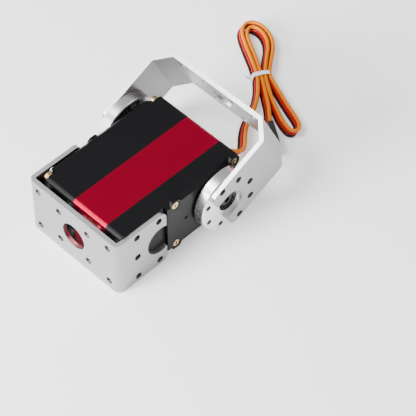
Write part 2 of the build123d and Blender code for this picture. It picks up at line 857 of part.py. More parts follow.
# ---------------------------------------------------------------- tilt bracket
tilt_plane = Plane(origin=shaft_centre, x_dir=tilt_direction, z_dir=tilt_normal)
with BuildPart() as tilt_bracket:
    with BuildSketch(tilt_plane.offset(-tilt_half_width)):
        with BuildLine():
            side = tilt_inner_width / 2
            FilletPolyline(
                (-tilt_tail, -side),
                (tilt_reach - tilt_corner, -side),
                (tilt_reach, -side + tilt_corner),
                (tilt_reach, side - tilt_corner),
                (tilt_reach - tilt_corner, side),
                (-tilt_tail, side),
                radius=bend_radius,
            )
            offset(amount=sheet, side=Side.RIGHT)
        make_face()
    extrude(amount=2 * tilt_half_width)
    tail_edges = [
        edge for edge in tilt_bracket.edges().filter_by(Axis.Y)
        if tilt_plane.to_local_coords(edge.center()).X < -tilt_tail + 0.1
    ]
    fillet(tail_edges, corner_radius)
    arm_plane = Plane(origin=shaft_centre, x_dir=tilt_direction, z_dir=(0, -1, 0))
    with BuildSketch(arm_plane.offset(-tilt_inner_width)):
        Circle(tilt_slot_radius)
        Rectangle(2 * tilt_tail, 2 * tilt_slot_radius, align=(Align.MAX, Align.CENTER))
        with PolarLocations(pitch_circle / 2, 5, start_angle=-90, angular_range=180, endpoint=True):
            Circle(m3_clear_radius)
    extrude(amount=2 * tilt_inner_width, mode=Mode.SUBTRACT)
    with BuildSketch(Plane(origin=shaft_centre, x_dir=(0, 1, 0), z_dir=tilt_direction).offset(tilt_reach)):
        Circle(big_hole_radius)
        with GridLocations(2 * inner_hole, 2 * inner_hole, 2, 2):
            Circle(m3_clear_radius)
        with GridLocations(2 * outer_hole_y, 2 * outer_hole_z, 2, 2):
            Circle(m3_clear_radius)
    extrude(amount=sheet, mode=Mode.SUBTRACT)
save(tilt_bracket.part, "tilt_bracket")

arm_screw_places = [disc_holes[index] for index in (-2, -1, 0, 1, 2)]
tilt_outer = tilt_inner_width / 2 + sheet
tilt_set_screws = Compound(
    children=socket_screws(arm_screw_places, tilt_outer, 1).solids()
    + socket_screws(arm_screw_places, tilt_outer, -1).solids()
)
save(tilt_set_screws, "tilt_set_screws")

# ---------------------------------------------------------------- lead
exit_z = servo_axis - exit_drop
ribbon_z = floor_z + ribbon_width / 2 + 0.05
lead_start = servo_end + grommet_length

with BuildPart() as lead_grommet:
    with BuildSketch(Plane.YZ.offset(servo_end - case_wall - 0.8)):
        with Locations((exit_y, exit_z)):
            Circle(grommet_radius - 0.4 - seat_clearance)
    extrude(amount=0.8)
    with BuildSketch(Plane.YZ.offset(servo_end - case_wall)):
        with Locations((exit_y, exit_z)):
            Circle(grommet_radius - 0.8 - seat_clearance)
    extrude(amount=case_wall)
    with BuildSketch(Plane.YZ.offset(servo_end)):
        with Locations((exit_y, exit_z)):
            Circle(grommet_radius)
    extrude(amount=1.0)
    with BuildSketch(Plane.YZ.offset(servo_end + 1.0)):
        with Locations((exit_y, exit_z)):
            Circle(grommet_radius - 0.4)
    extrude(amount=grommet_length - 1.0)
save(lead_grommet.part, "lead_grommet")

inner_lead_x = servo_end - case_wall - 0.8
inner_lead_parts = []
for core in (-1, 0, 1):
    core_z = exit_z + core * 2 * core_radius
    with BuildPart() as inner_core:
        with BuildLine() as inner_path:
            FilletPolyline(
                (inner_lead_x, exit_y, core_z),
                (inner_lead_x - 1.6, exit_y, core_z),
                (inner_lead_x - 1.6, -board_front, core_z),
                radius=1.5,
            )
        with BuildSketch(Plane(origin=inner_path.line @ 0, z_dir=inner_path.line % 0)):
            Circle(0.6)
        sweep(path=inner_path.line)
    inner_lead_parts.append(inner_core.part.solid())
save(Compound(children=inner_lead_parts), "inner_leads")


def route(points, close_end=None):
    """Smooth cord path: straight runs joined by arcs as large as each pair of runs allows."""
    radii = []
    for before, here, after in zip(points, points[1:], points[2:]):
        first = Vector(*here) - Vector(*before)
        second = Vector(*after) - Vector(*here)
        half_turn = radians(first.get_angle(second)) / 2
        radii.append(0.45 * min(first.length, second.length) / tan(half_turn))
    print("radii", [round(r, 1) for r in radii])
    return FilletPolyline(*points, radius=radii)


# from the grommet down to the floor and on to the tied bundle
lead_points = [
    (lead_start, exit_y, exit_z),
    (lead_start + 5.0, exit_y, exit_z),
    (lead_start + 9.9, exit_y - 0.9, exit_z - 0.9),
    (lead_start + 14.6, exit_y - 1.8, exit_z - 2.8),
    (lead_start + 19.4, exit_y - 1.9, exit_z - 4.9),
    (lead_start + 24.4, exit_y - 0.7, exit_z - 6.6),
    (lead_start + 29.6, exit_y + 1.9, ribbon_z),
    (lead_start + 34.8, exit_y + 5.4, ribbon_z),
    (lead_start + 40.1, exit_y + 9.63, ribbon_z),
]
# from the bundle to the connector
tail_points = [
    (lead_start + 40.2, exit_y + 2.4, ribbon_z),
    (lead_start + 37.2, exit_y - 0.8, ribbon_z),
    (lead_start + 34.9, exit_y - 4.5, ribbon_z),
]


def cord_tube(points):
    """Round tube as wide as the ribbon, along a route."""
    with BuildPart() as tube:
        with BuildLine() as path:
            route(points)
        with BuildSketch(Plane(origin=path.line @ 0, z_dir=path.line % 0)):
            Circle(ribbon_width / 2)
        sweep(path=path.line)
        length = sum(edge.length for edge in path.edges())
    straight = pi * (ribbon_width / 2) ** 2 * length
    print("tube", round(tube.part.volume, 2), "section x length", round(straight, 2))
    return tube.part


save(cord_tube(lead_points), "lead")
save(cord_tube(tail_points), "lead_tail")

# folded bundle: two passes round the upper loop, one round the lower loop
tie_centre = (lead_start + 53.4, exit_y + 19.2)
bundle_bottom = floor_z + tie_thickness + 0.05
bundle_height = ribbon_width - 0.2
neck_radius = 3.4
upper_end = (lead_start + 68.9, exit_y + 41.0)
upper_radius = 7.5
lower_end = (lead_start + 41.7, exit_y - 10.0)
lower_radius = 3.5
lower_neck = (tie_centre[0] - 1.8, tie_centre[1] - 3.4)


def strand(before, end, reach):
    """Strip of ribbon that carries a route on in plan past its end."""
    direction = Vector(end[0] - before[0], end[1] - before[1], 0).normalized()
    middle = Vector(end[0], end[1], 0) + direction * (reach / 2)
    with Locations(Location(middle, (0, 0, degrees(atan2(direction.Y, direction.X))))):
        Rectangle(reach, bundle_height)


with BuildPart() as lead_hank:
    with BuildSketch(Plane.XY.offset(bundle_bottom)):
        with Locations(tie_centre):
            Circle(neck_radius)
        with Locations(upper_end):
            Circle(upper_radius)
        make_hull()
    extrude(amount=bundle_height)
    with BuildSketch(Plane.XY.offset(bundle_bottom)):
        with Locations(tie_centre, lower_neck):
            Circle(neck_radius)
        with Locations(lower_end):
            Circle(lower_radius)
        make_hull()
    extrude(amount=bundle_height)
    with BuildSketch(Plane.XY.offset(bundle_bottom)):
        strand(lead_points[-2], lead_points[-1], 16.4)
        strand(tail_points[1], tail_points[0], 17.2)
    extrude(amount=bundle_height)
save(lead_hank.part, "lead_hank")

tie_direction = Vector(0.5, sqrt(0.75), 0)
tie_middle_z = bundle_bottom + bundle_height / 2
tie_plane = Plane(
    origin=(tie_centre[0], tie_centre[1], tie_middle_z), x_dir=(-sqrt(0.75), 0.5, 0), z_dir=tie_direction
)
tie_inner_width = 2 * neck_radius + 1.6
tie_inner_height = bundle_height + 0.1
with BuildPart() as twist_tie:
    with BuildSketch(tie_plane.offset(-tie_width / 2)):
        RectangleRounded(tie_inner_width + 2 * tie_thickness, tie_inner_height + 2 * tie_thickness, 0.9)
        RectangleRounded(tie_inner_width, tie_inner_height, 0.4, mode=Mode.SUBTRACT)
    extrude(amount=tie_width)
    # the twisted ends
    with BuildSketch(tie_plane.offset(-0.7)):
        with Locations(Location((tie_inner_width / 2 + 2.1, 1.9, 0), (0, 0, -40))):
            Rectangle(1.2, 4.4)
    extrude(amount=1.4)
save(twist_tie.part, "twist_tie")

# ---------------------------------------------------------------- connector
tail_end = Vector(*tail_points[-1])
connector_direction = (tail_end - Vector(*tail_points[-2])).normalized()
connector_plane = Plane(
    origin=(tail_end.X, tail_end.Y, floor_z + connector_height / 2 + 0.05),
    x_dir=(0, 0, 1), z_dir=connector_direction,
)
contact_places = [(-2.54, 0), (0, 0), (2.54, 0)]
with BuildPart() as connector_housing:
    with BuildSketch(connector_plane):
        Rectangle(connector_height, connector_width)
    extrude(amount=connector_length)
    chamfer(connector_housing.edges().filter_by(lambda e: abs(e.length - connector_length) < 0.01), 0.3)
    with BuildSketch(connector_plane.offset(connector_length)):
        with Locations(*contact_places):
            Rectangle(1.3, 1.3)
    extrude(amount=-9.0, mode=Mode.SUBTRACT)
save(connector_housing.part, "connector_housing")

with BuildPart() as connector_contacts:
    with BuildSketch(connector_plane.offset(connector_length - 9.0)):
        with Locations(*contact_places):
            Rectangle(1.0, 1.0)
            Rectangle(0.66, 0.66, mode=Mode.SUBTRACT)
    extrude(amount=8.6)
save(connector_contacts.part, "connector_contacts")
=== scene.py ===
"""Servo tilt mount: finishes for the machined parts, the flat servo lead, its tie and a plain studio."""
import logging
import math
from dataclasses import dataclass, field
from enum import Enum

import bmesh
import bpy
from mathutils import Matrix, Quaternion, Vector


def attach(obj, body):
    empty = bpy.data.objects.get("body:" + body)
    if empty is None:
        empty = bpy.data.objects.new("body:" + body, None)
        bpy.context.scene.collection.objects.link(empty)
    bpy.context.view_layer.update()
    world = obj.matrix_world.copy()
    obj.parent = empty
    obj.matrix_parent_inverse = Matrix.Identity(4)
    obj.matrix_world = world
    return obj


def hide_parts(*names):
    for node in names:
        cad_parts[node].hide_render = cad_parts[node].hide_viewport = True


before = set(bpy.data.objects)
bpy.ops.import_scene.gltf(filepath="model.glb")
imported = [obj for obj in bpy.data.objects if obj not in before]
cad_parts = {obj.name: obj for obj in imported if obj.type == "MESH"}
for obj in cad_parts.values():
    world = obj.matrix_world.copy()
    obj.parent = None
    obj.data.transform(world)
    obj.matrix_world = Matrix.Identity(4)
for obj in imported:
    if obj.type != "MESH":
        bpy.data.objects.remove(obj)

logging.basicConfig(level=logging.INFO, format="%(name)s: %(message)s")
log = logging.getLogger("tilt_mount")

Colour = tuple[float, float, float]
Point = tuple[float, float, float]

SHAFT: Point = (0.0576, 0.0, 0.0012)
TILT_REST = math.radians(24.5)
TILT_ACROSS: Point = (-math.sin(TILT_REST), 0.0, math.cos(TILT_REST))


# ---------------------------------------------------------------- helpers
def deselect() -> None:
    """Leave nothing selected and nothing in edit mode."""
    if bpy.context.object and bpy.context.object.mode != "OBJECT":
        bpy.ops.object.mode_set(mode="OBJECT")
    bpy.ops.object.select_all(action="DESELECT")


def pick(obj: bpy.types.Object) -> None:
    """Make one object the only selected and the active one.

    Args:
        obj: the object to work on.
    """
    deselect()
    obj.select_set(True)
    bpy.context.view_layer.objects.active = obj


def settle(obj: bpy.types.Object, name: str) -> bpy.types.Object:
    """Apply an object's place, turn and size to its mesh, and name it.

    Args:
        obj: the object to settle.
        name: its new name.

    Returns:
        The same object, at the origin.
    """
    pick(obj)
    bpy.ops.object.transform_apply(location=True, rotation=True, scale=True)
    obj.name = name
    obj.data.name = name
    return obj


def apply_modifiers(obj: bpy.types.Object) -> None:
    """Apply every modifier of an object in order.

    Args:
        obj: the object whose stack is applied.
    """
    pick(obj)
    for modifier in list(obj.modifiers):
        bpy.ops.object.modifier_apply(modifier=modifier.name)


def face_outwards(obj: bpy.types.Object) -> None:
    """Merge doubles, then turn every face outwards.

    Args:
        obj: a closed mesh.
    """
    pick(obj)
    bpy.ops.object.mode_set(mode="EDIT")
    bpy.ops.mesh.select_all(action="SELECT")
    bpy.ops.mesh.remove_doubles(threshold=0.000001)
    bpy.ops.mesh.normals_make_consistent(inside=False)
    bpy.ops.object.mode_set(mode="OBJECT")


def dress(obj: bpy.types.Object, *materials: bpy.types.Material) -> None:
    """Put materials in an object's slots, in order, in place of what is there.

    Args:
        obj: the object to dress.
        materials: one material for each slot.
    """
    while len(obj.data.materials) < len(materials):
        obj.data.materials.append(None)
    for index in range(len(obj.data.materials)):
        obj.data.materials[index] = materials[min(index, len(materials) - 1)]


# ---------------------------------------------------------------- shared effects
class SocketKind(Enum):
    """Kinds of node group socket."""

    VALUE = "NodeSocketFloat"
    VECTOR = "NodeSocketVector"
    COLOUR = "NodeSocketColor"


class Effect:
    """A shader node group that several finishes share."""

    def __init__(self, name: str) -> None:
        """Start an empty group.

        Args:
            name: the group's name.
        """
        self.tree = bpy.data.node_groups.new(name, "ShaderNodeTree")
        self.source = self.tree.nodes.new("NodeGroupInput")
        self.target = self.tree.nodes.new("NodeGroupOutput")

    def takes(self, name: str, kind: SocketKind, value: object = None) -> None:
        """Add an input.

        Args:
            name: the input's name.
            kind: its kind of socket.
            value: its default.
        """
        socket = self.tree.interface.new_socket(name=name, in_out="INPUT", socket_type=kind.value)
        if value is not None:
            socket.default_value = value

    def gives(self, name: str, kind: SocketKind) -> None:
        """Add an output with a name and a kind of socket."""
        self.tree.interface.new_socket(name=name, in_out="OUTPUT", socket_type=kind.value)

    def node(self, kind: str, **settings: object) -> bpy.types.Node:
        """Add a node and set its properties.

        Args:
            kind: the node's type name.
            settings: the properties to set.

        Returns:
            The new node.
        """
        node = self.tree.nodes.new(kind)
        for key, value in settings.items():
            setattr(node, key, value)
        return node

    def link(self, start: bpy.types.NodeSocket, end: bpy.types.NodeSocket) -> None:
        """Join an output to an input."""
        self.tree.links.new(start, end)


def tone_effect() -> bpy.types.NodeTree:
    """Cloudy change of tone over a surface, as anodising, paint and moulding have.

    Returns:
        A group that gives a colour.
    """
    effect = Effect("tone")
    effect.takes("Vector", SocketKind.VECTOR)
    effect.takes("Colour", SocketKind.COLOUR, (0.5, 0.5, 0.5, 1.0))
    effect.takes("Scale", SocketKind.VALUE, 60.0)
    effect.takes("Amount", SocketKind.VALUE, 0.08)
    effect.gives("Colour", SocketKind.COLOUR)
    cloud = effect.node("ShaderNodeTexNoise")
    cloud.inputs["Detail"].default_value = 4.0
    centred = effect.node("ShaderNodeMath", operation="SUBTRACT")
    centred.inputs[1].default_value = 0.5
    scaled = effect.node("ShaderNodeMath", operation="MULTIPLY_ADD")
    scaled.inputs[2].default_value = 1.0
    tinted = effect.node("ShaderNodeVectorMath", operation="SCALE")
    effect.link(effect.source.outputs["Vector"], cloud.inputs["Vector"])
    effect.link(effect.source.outputs["Scale"], cloud.inputs["Scale"])
    effect.link(cloud.outputs["Fac"], centred.inputs[0])
    effect.link(centred.outputs[0], scaled.inputs[0])
    effect.link(effect.source.outputs["Amount"], scaled.inputs[1])
    effect.link(effect.source.outputs["Colour"], tinted.inputs[0])
    effect.link(scaled.outputs[0], tinted.inputs["Scale"])
    effect.link(tinted.outputs[0], effect.target.inputs["Colour"])
    return effect.tree


def handling_effect() -> bpy.types.NodeTree:
    """Patches of finer and coarser gloss, as handling leaves.

    Returns:
        A group that gives a roughness.
    """
    effect = Effect("handling")
    effect.takes("Vector", SocketKind.VECTOR)
    effect.takes("Roughness", SocketKind.VALUE, 0.4)
    effect.takes("Scale", SocketKind.VALUE, 120.0)
    effect.takes("Amount", SocketKind.VALUE, 0.15)
    effect.gives("Roughness", SocketKind.VALUE)
    patches = effect.node("ShaderNodeTexNoise")
    patches.inputs["Detail"].default_value = 6.0
    patches.inputs["Roughness"].default_value = 0.65
    centred = effect.node("ShaderNodeMath", operation="SUBTRACT")
    centred.inputs[1].default_value = 0.5
    shifted = effect.node("ShaderNodeMath", operation="MULTIPLY_ADD", use_clamp=True)
    effect.link(effect.source.outputs["Vector"], patches.inputs["Vector"])
    effect.link(effect.source.outputs["Scale"], patches.inputs["Scale"])
    effect.link(patches.outputs["Fac"], centred.inputs[0])
    effect.link(centred.outputs[0], shifted.inputs[0])
    effect.link(effect.source.outputs["Amount"], shifted.inputs[1])
    effect.link(effect.source.outputs["Roughness"], shifted.inputs[2])
    effect.link(shifted.outputs[0], effect.target.inputs["Roughness"])
    return effect.tree


def grain_effect() -> bpy.types.NodeTree:
    """Fine pebbled height, as bead blasting and spark-eroded moulds leave.

    Returns:
        A group that gives a height.
    """
    effect = Effect("grain")
    effect.takes("Vector", SocketKind.VECTOR)
    effect.takes("Scale", SocketKind.VALUE, 2500.0)
    effect.takes("Coarse", SocketKind.VALUE, 0.3)
    effect.gives("Height", SocketKind.VALUE)
    fine = effect.node("ShaderNodeTexNoise")
    fine.inputs["Detail"].default_value = 2.0
    coarse_scale = effect.node("ShaderNodeMath", operation="MULTIPLY")
    coarse_scale.inputs[1].default_value = 0.22
    coarse = effect.node("ShaderNodeTexNoise")
    coarse.inputs["Detail"].default_value = 3.0
    total = effect.node("ShaderNodeMath", operation="MULTIPLY_ADD")
    effect.link(effect.source.outputs["Vector"], fine.inputs["Vector"])
    effect.link(effect.source.outputs["Vector"], coarse.inputs["Vector"])
    effect.link(effect.source.outputs["Scale"], fine.inputs["Scale"])
    effect.link(effect.source.outputs["Scale"], coarse_scale.inputs[0])
    effect.link(coarse_scale.outputs[0], coarse.inputs["Scale"])
    effect.link(coarse.outputs["Fac"], total.inputs[0])
    effect.link(effect.source.outputs["Coarse"], total.inputs[1])
    effect.link(fine.outputs["Fac"], total.inputs[2])
    effect.link(total.outputs[0], effect.target.inputs["Height"])
    return effect.tree


def turning_effect() -> bpy.types.NodeTree:
    """Fine rings about the Y axis, as a lathe tool leaves.

    Returns:
        A group that gives a height.
    """
    effect = Effect("turning")
    effect.takes("Vector", SocketKind.VECTOR)
    effect.takes("Scale", SocketKind.VALUE, 900.0)
    effect.gives("Height", SocketKind.VALUE)
    rings = effect.node("ShaderNodeTexWave", wave_type="RINGS", rings_direction="Y", wave_profile="SIN")
    rings.inputs["Distortion"].default_value = 0.4
    rings.inputs["Detail"].default_value = 1.0
    effect.link(effect.source.outputs["Vector"], rings.inputs["Vector"])
    effect.link(effect.source.outputs["Scale"], rings.inputs["Scale"])
    effect.link(rings.outputs["Fac"], effect.target.inputs["Height"])
    return effect.tree


def cut_edge_effect() -> bpy.types.NodeTree:
    """Mask of the faces that look along one direction, such as a sheet's cut edges.

    Returns:
        A group that gives a mask.
    """
    effect = Effect("cut_edge")
    effect.takes("Normal", SocketKind.VECTOR)
    effect.takes("Across", SocketKind.VECTOR, (0.0, 0.0, 1.0))
    effect.gives("Mask", SocketKind.VALUE)
    along = effect.node("ShaderNodeVectorMath", operation="DOT_PRODUCT")
    size = effect.node("ShaderNodeMath", operation="ABSOLUTE")
    mask = effect.node("ShaderNodeMapRange", interpolation_type="SMOOTHSTEP")
    mask.inputs["From Min"].default_value = 0.6
    mask.inputs["From Max"].default_value = 0.9
    effect.link(effect.source.outputs["Normal"], along.inputs[0])
    effect.link(effect.source.outputs["Across"], along.inputs[1])
    effect.link(along.outputs["Value"], size.inputs[0])
    effect.link(size.outputs[0], mask.inputs["Value"])
    effect.link(mask.outputs["Result"], effect.target.inputs["Mask"])
    return effect.tree


@dataclass(frozen=True)
class Effects:
    """The shared effects, each built once."""

    tone: bpy.types.NodeTree
    handling: bpy.types.NodeTree
    grain: bpy.types.NodeTree
    turning: bpy.types.NodeTree
    cut_edge: bpy.types.NodeTree

    @classmethod
    def build(cls) -> "Effects":
        """Build every group."""
        return cls(tone_effect(), handling_effect(), grain_effect(), turning_effect(), cut_edge_effect())


# ---------------------------------------------------------------- finishes
@dataclass(frozen=True)
class Finish:
    """A finish with cloudy tone, patchy gloss and fine grain."""

    name: str
    colour: Colour
    roughness: float
    metallic: float = 0.0
    tone_scale: float = 70.0
    tone_amount: float = 0.15
    gloss_scale: float = 160.0
    gloss_amount: float = 0.2
    grain_scale: float = 2600.0
    grain_height: float = 0.00001
    coat: float = 0.0
    specular: float = 0.5

    def build(self, effects: Effects) -> bpy.types.Material:
        """Make the material.

        Args:
            effects: the shared node groups.

        Returns:
            The finished material.
        """
        material = bpy.data.materials.new(self.name)
        material.use_nodes = True
        tree = material.node_tree
        shader = tree.nodes["Principled BSDF"]
        shader.inputs["Metallic"].default_value = self.metallic
        shader.inputs["Coat Weight"].default_value = self.coat
        shader.inputs["Specular IOR Level"].default_value = self.specular
        place = tree.nodes.new("ShaderNodeTexCoord")
        tone = self.place(tree, effects.tone, Colour=(*self.colour, 1.0), Scale=self.tone_scale,
                          Amount=self.tone_amount)
        gloss = self.place(tree, effects.handling, Roughness=self.roughness, Scale=self.gloss_scale,
                           Amount=self.gloss_amount)
        grain = self.place(tree, effects.grain, Scale=self.grain_scale)
        bump = tree.nodes.new("ShaderNodeBump")
        bump.inputs["Distance"].default_value = self.grain_height
        for node in (tone, gloss, grain):
            tree.links.new(place.outputs["Object"], node.inputs["Vector"])
        tree.links.new(grain.outputs["Height"], bump.inputs["Height"])
        tree.links.new(bump.outputs["Normal"], shader.inputs["Normal"])
        tree.links.new(tone.outputs["Colour"], shader.inputs["Base Color"])
        tree.links.new(gloss.outputs["Roughness"], shader.inputs["Roughness"])
        self.enrich(tree, effects)
        return material

    def place(self, tree: bpy.types.NodeTree, group: bpy.types.NodeTree, **values: object) -> bpy.types.Node:
        """Put a shared effect in a material.

        Args:
            tree: the material's nodes.
            group: the effect.
            values: its inputs by name.

        Returns:
            The group node.
        """
        node = tree.nodes.new("ShaderNodeGroup")
        node.node_tree = group
        for key, value in values.items():
            node.inputs[key].default_value = value
        return node

    def enrich(self, tree: bpy.types.NodeTree, effects: Effects) -> None:
        """Add what a plain finish doesn't have; nothing here."""


@dataclass(frozen=True)
class SheetWithPaintedEdgeHighlight(Finish):
    """Anodised sheet with a painted highlight on its cut edges, which are coloured brighter than its faces.
    """

    across: Point = (0.0, 0.0, 1.0)
    # painted highlight: near-white colour for the cut edges, standing in for light caught along their sharp
    # corners
    edge_highlight_colour: Colour = (0.93, 0.93, 0.94)

    def enrich(self, tree: bpy.types.NodeTree, effects: Effects) -> None:
        """Mix the painted edge highlight colour in where a face looks along the sheet's width.

        Args:
            tree: the material's nodes.
            effects: the shared node groups.
        """
        shader = tree.nodes["Principled BSDF"]
        base = shader.inputs["Base Color"].links[0].from_socket
        place = tree.nodes["Texture Coordinate"]
        mask = self.place(tree, effects.cut_edge, Across=self.across)
        mix = tree.nodes.new("ShaderNodeMix")
        mix.data_type = "RGBA"
        # painted highlight: the cut edges are mixed towards the near-white edge colour
        mix.inputs["B"].default_value = (*self.edge_highlight_colour, 1.0)
        tree.links.new(place.outputs["Normal"], mask.inputs["Normal"])
        tree.links.new(mask.outputs["Mask"], mix.inputs["Factor"])
        tree.links.new(base, mix.inputs["A"])
        tree.links.new(mix.outputs["Result"], shader.inputs["Base Color"])


@dataclass(frozen=True)
class TurnedFinish(Finish):
    """Metal with the rings of a lathe tool about an axis along Y."""

    centre: Point = SHAFT
    ring_scale: float = 900.0
    ring_height: float = 0.000004

    def enrich(self, tree: bpy.types.NodeTree, effects: Effects) -> None:
        """Lay the rings under the grain, on the faces that look along the axis.

        Args:
            tree: the material's nodes.
            effects: the shared node groups.
        """
        shader = tree.nodes["Principled BSDF"]
        grain_bump = shader.inputs["Normal"].links[0].from_node
        place = tree.nodes["Texture Coordinate"]
        centred = tree.nodes.new("ShaderNodeMapping")
        centred.inputs["Location"].default_value = [-value for value in self.centre]
        rings = self.place(tree, effects.turning, Scale=self.ring_scale)
        bump = tree.nodes.new("ShaderNodeBump")
        bump.inputs["Distance"].default_value = self.ring_height
        flat = self.place(tree, effects.cut_edge, Across=(0.0, 1.0, 0.0))
        tree.links.new(place.outputs["Normal"], flat.inputs["Normal"])
        tree.links.new(flat.outputs["Mask"], bump.inputs["Strength"])
        tree.links.new(place.outputs["Object"], centred.inputs["Vector"])
        tree.links.new(centred.outputs["Vector"], rings.inputs["Vector"])
        tree.links.new(rings.outputs["Height"], bump.inputs["Height"])
        tree.links.new(bump.outputs["Normal"], grain_bump.inputs["Normal"])


# ---------------------------------------------------------------- studio
@dataclass(frozen=True)
class SoftBox:
    """One square soft light."""

    name: str
    place: Point
    size: float
    watts: float


@dataclass
class Studio:
    """Camera, floor and soft lights."""

    camera_place: Point = (-0.3716, -0.4607, 0.7285)
    camera_aim: Point = (0.05273, -0.02562, -0.00505)
    camera_roll: float = -0.0077
    lens_mm: float = 198.3
    shift: tuple[float, float] = (-0.0034, 0.0012)
    floor_z: float = -0.015
    floor_drop: float = 0.0001
    floor_glow: float = 0.5
    room_glow: float = 0.5
    lit_point: Point = (0.06, 0.0, 0.0)
    boxes: tuple[SoftBox, ...] = (
        SoftBox("overhead", (-0.45, 0.25, 0.95), 0.5, 15.0),
        SoftBox("left", (-0.75, 0.15, 0.30), 0.4, 22.0),
        SoftBox("near", (0.55, -0.85, 0.40), 0.4, 0.8),
    )

    def make_camera(self) -> None:
        """Place the camera and make it the scene's."""
        data = bpy.data.cameras.new("camera")
        data.lens = self.lens_mm
        data.sensor_width = 36.0
        data.shift_x, data.shift_y = self.shift
        data.clip_start = 0.05
        camera = bpy.data.objects.new("camera", data)
        direction = Vector(self.camera_aim) - Vector(self.camera_place)
        turn = direction.to_track_quat("-Z", "Y") @ Quaternion((0.0, 0.0, 1.0), self.camera_roll)
        camera.location = self.camera_place
        camera.rotation_mode = "QUATERNION"
        camera.rotation_quaternion = turn
        bpy.context.scene.collection.objects.link(camera)
        bpy.context.scene.camera = camera

    def make_floor(self) -> None:
        """Lay a plain pale floor just under the object."""
        deselect()
        bpy.ops.mesh.primitive_plane_add(size=6.0, location=(0.0, 0.0, self.floor_z - self.floor_drop))
        floor = settle(bpy.context.object, "floor")
        material = bpy.data.materials.new("floor_paper")
        material.use_nodes = True
        shader = material.node_tree.nodes["Principled BSDF"]
        shader.inputs["Base Color"].default_value = (1.0, 1.0, 1.0, 1.0)
        shader.inputs["Roughness"].default_value = 0.9
        shader.inputs["Specular IOR Level"].default_value = 0.1
        shader.inputs["Emission Color"].default_value = (1.0, 1.0, 1.0, 1.0)
        shader.inputs["Emission Strength"].default_value = self.floor_glow
        dress(floor, material)

    def make_light(self, box: SoftBox) -> None:
        """Hang one soft box, turned to the lit point.

        Args:
            box: where it hangs, its size and its power.
        """
        data = bpy.data.lights.new(box.name, "AREA")
        data.shape = "SQUARE"
        data.size = box.size
        data.energy = box.watts
        light = bpy.data.objects.new(box.name, data)
        light.location = box.place
        light.rotation_mode = "QUATERNION"
        light.rotation_quaternion = (Vector(self.lit_point) - Vector(box.place)).to_track_quat("-Z", "Y")
        bpy.context.scene.collection.objects.link(light)

    def make_lights(self) -> None:
        """Hang the soft boxes and set the room's own light."""
        for box in self.boxes:
            self.make_light(box)
        world = bpy.data.worlds.new("room")
        world.use_nodes = True
        background = world.node_tree.nodes["Background"]
        background.inputs["Color"].default_value = (1.0, 1.0, 1.0, 1.0)
        background.inputs["Strength"].default_value = self.room_glow
        bpy.context.scene.world = world

    def build(self) -> None:
        """Build the whole studio."""
        self.make_camera()
        self.make_floor()
        self.make_lights()


# ---------------------------------------------------------------- lead
def smooth_step(value: float) -> float:
    """Rise smoothly from 0 to 1 while the value goes from 0 to 1.

    Args:
        value: any number.

    Returns:
        The step's height.
    """
    value = min(max(value, 0.0), 1.0)
    return value * value * (3.0 - 2.0 * value)


